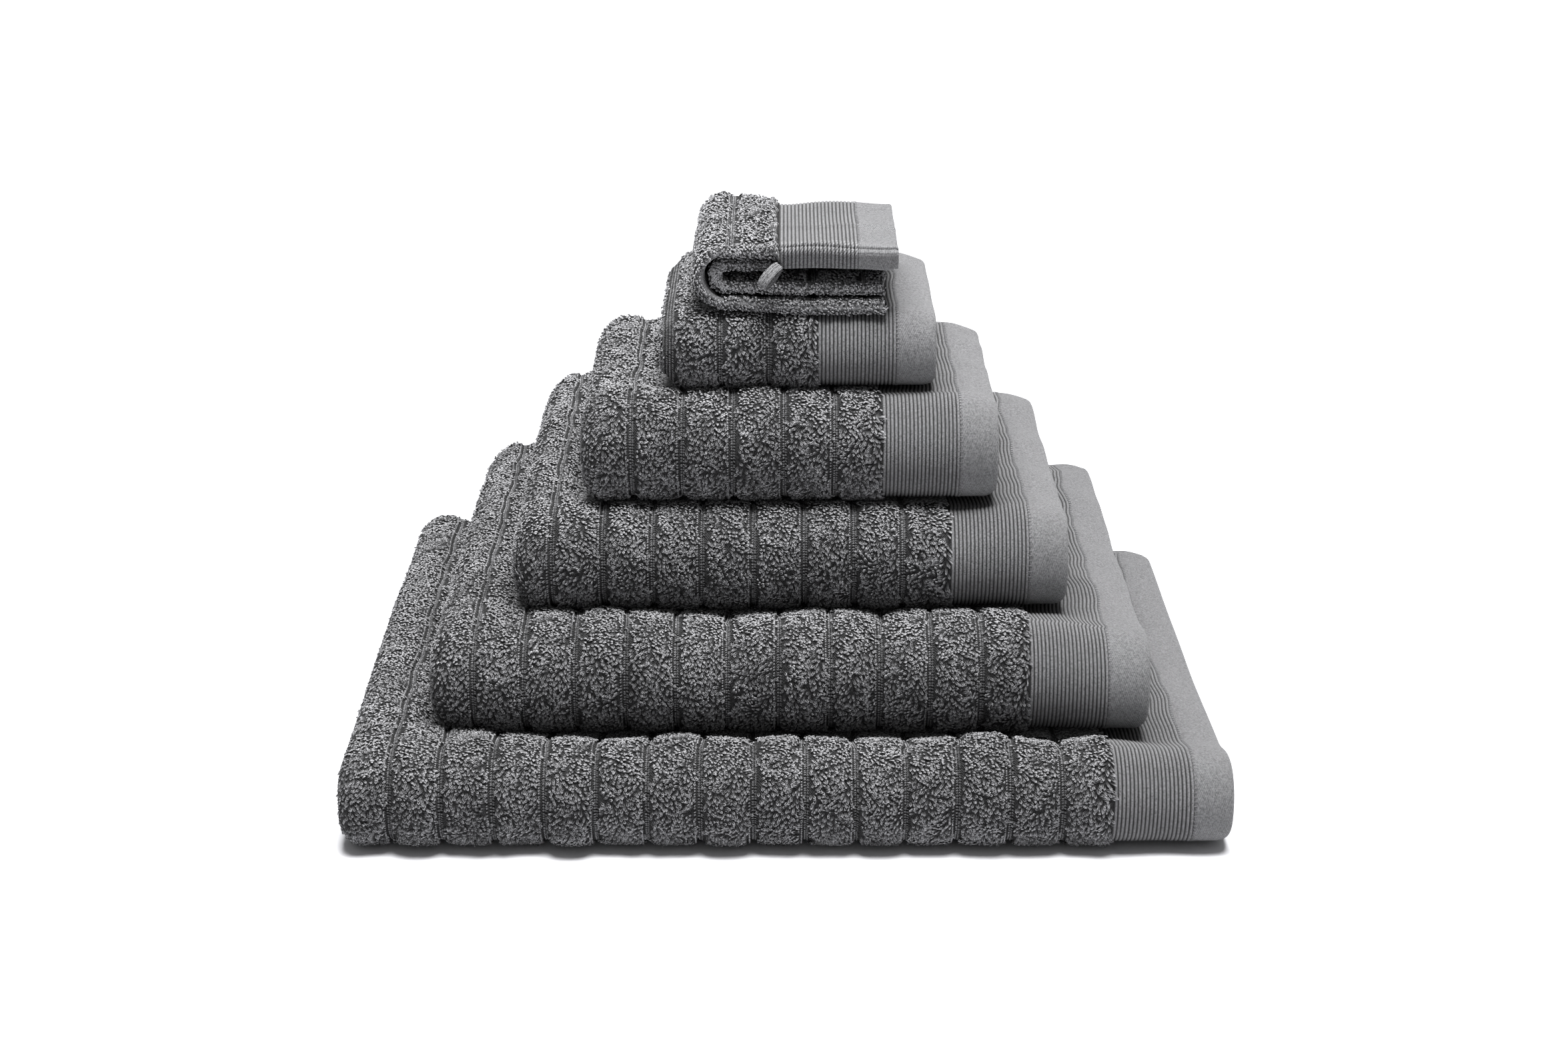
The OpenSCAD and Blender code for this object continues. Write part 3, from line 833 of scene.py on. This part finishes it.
        # the pile is split at the joint: each half goes with its own body
        halves = (("upper", "face_cloth_flap", start, middle, ()),
                  ("lower", "face_cloth", middle, stop, [stop, stop - 0.5 * MM, stop - 1.4 * MM]))
        on_it = []
        for half, body, low, high, ends in halves:
            name = f"face_cloth_{half}"
            grown_here = [
                pile_on(name + "_pile", outside, low, high, 3 * MM, back_fold + 8 * MM, on_outside, seed=71,
                        flip=-1.0, lay=math.pi, edges=edge, ends=ends),
                pile_on(name + "_inner_pile", outside, low, high, facing_from, total - 3 * MM, facing,
                        seed=73, flip=-1.0, edges=last),
                pile_on(name + "_under_pile", inside, low, high, total - 9 * MM, total - 3 * MM,
                        near_edge, seed=75, edges=last[1:]),
                pile_on(name + "_rim_pile", inside, low, high, 2.5 * MM, 8 * MM, at_rim, seed=77,
                        lay=math.pi, edges=edge[2:]),
            ]
            for piece in grown_here:
                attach(piece, body)
            on_it += grown_here
        sv = np.arange(16 * MM, back_fold - 8 * MM, STITCH_STEP)
        here, normal, along, _ = outside.at(np.full(len(sv), STITCH_LINE), sv)
        thread = stitches("face_cloth_stitches", here, -normal, along)
        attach(thread, "face_cloth_flap")
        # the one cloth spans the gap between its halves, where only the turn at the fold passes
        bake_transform(cloth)
        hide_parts(*(f"face_cloth_{a}" for a in (
            "lower_terry", "lower_side_hems", "fold", "upper_terry", "upper_side_hems", "border", "hem")))
        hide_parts("face_cloth_hem_thread")


FaceCloth(towel).build()


# ---------- the hang loop ----------


def hang_loop():
    """A ribbon of knitted tape whose two ends are sewn in at the top, where the terry meets the border."""
    low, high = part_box("hang_loop")
    wide, steps = 8.4 * MM, 72
    root = np.array([low[0] + 0.80 * (high[0] - low[0]), high[1] - 4 * MM, high[2] - 1.5 * MM])
    tip = np.array([low[0] + 2.2 * MM, low[1] + 3.4 * MM, low[2] + 3.0 * MM])
    axis = tip - root
    reach = np.linalg.norm(axis)
    axis = axis / reach
    aside = unit(np.cross(axis, np.array([0.0, 1.0, 0.0])))
    ahead = np.cross(aside, axis)
    t = np.linspace(0, 2 * math.pi, steps)
    out = 3.9 * MM * np.sin(t) * np.abs(np.sin(t / 2)) ** 0.5
    line = (root + axis * (reach * (1 - np.cos(t)) / 2)[:, None]
            + (aside * 0.62 + ahead * 0.78) * out[:, None])
    run = unit(np.gradient(line, axis=0))
    width = unit(aside * 0.84 - ahead * 0.54 + 0 * line)
    width = unit(width - run * (width * run).sum(-1, keepdims=True))
    face = np.cross(run, width)
    u = np.linspace(-1, 1, 17)
    rib = 0.16 * MM * np.cos(u * 3 * math.pi)
    thick = 0.6 * MM * np.sqrt(np.clip(1 - u**6, 0.03, 1))
    narrow = (1 - 0.12 * np.cos(t / 2) ** 6)[:, None, None]
    across = line[:, None] + width[:, None] * (u * wide / 2)[None, :, None] * narrow
    over = across + face[:, None] * (thick + rib)[None, :, None]
    under = across - face[:, None] * (thick + rib)[None, :, None]
    ring_points = np.concatenate([over, under[:, ::-1]], 1)
    n, m = ring_points.shape[:2]
    i, j = np.meshgrid(np.arange(n - 1), np.arange(m), indexing="ij")
    k = (j + 1) % m
    quads = np.stack([i * m + j, i * m + k, (i + 1) * m + k, (i + 1) * m + j], -1).reshape(-1, 4)
    c = np.arange(len(u) - 1)
    cap = np.stack([c, m - 1 - c, m - 2 - c, c + 1], -1)
    quads = np.concatenate([quads, cap[:, ::-1], cap + (n - 1) * m])
    along = np.r_[0, np.cumsum(np.linalg.norm(np.diff(line, axis=0), axis=1))]
    uv = np.stack(np.broadcast_arrays(along[:, None], np.concatenate([u, u[::-1]])[None] * wide / 2), -1)
    ob = mesh_object("hang_loop_tape", ring_points, quads, [TAPE], None, uv)
    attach(ob, "hang_loop")
    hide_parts("hang_loop")


hang_loop()


# ---------- floor, light and camera ----------

bpy.ops.mesh.primitive_plane_add(size=40, location=(0, 0, -0.0005))
floor = bpy.context.active_object
floor.name = "floor"
paint, nt, p = new_material("pale_floor", 0.9, 0.0)
co = object_place(nt)
colour(nt, p, noise(nt, co, 3), [(0.3, 0.70), (0.7, 0.72)])
floor.data.materials.append(paint)

scene = bpy.context.scene
scene.view_settings.view_transform = "Standard"
world = bpy.data.worlds.new("studio")
world.use_nodes = True
world.node_tree.nodes["Background"].inputs["Color"].default_value = (1, 1, 1, 1)
world.node_tree.nodes["Background"].inputs["Strength"].default_value = 0.3
scene.world = world

sun = bpy.data.lights.new("high_light", "SUN")
sun.energy, sun.angle = 4.8, math.radians(22)
high = bpy.data.objects.new("high_light", sun)
high.rotation_euler = (math.radians(8), math.radians(4), 0)
scene.collection.objects.link(high)
box = bpy.data.lights.new("softbox_above", "AREA")
box.energy, box.size = 33, 0.8
above = bpy.data.objects.new("softbox_above", box)
above.location = (-0.05, -0.14, 1.55)
scene.collection.objects.link(above)

camera = bpy.data.cameras.new("camera")
camera.lens, camera.sensor_width = 63.3, 36
eye = bpy.data.objects.new("camera", camera)
eye.location = (0, -2.017, 0.8745)
eye.rotation_euler = (math.radians(90 - 19.5), 0, 0)
scene.collection.objects.link(eye)
scene.camera = eye


def plain(box):
    return [[float(a) for a in corner] for corner in box]
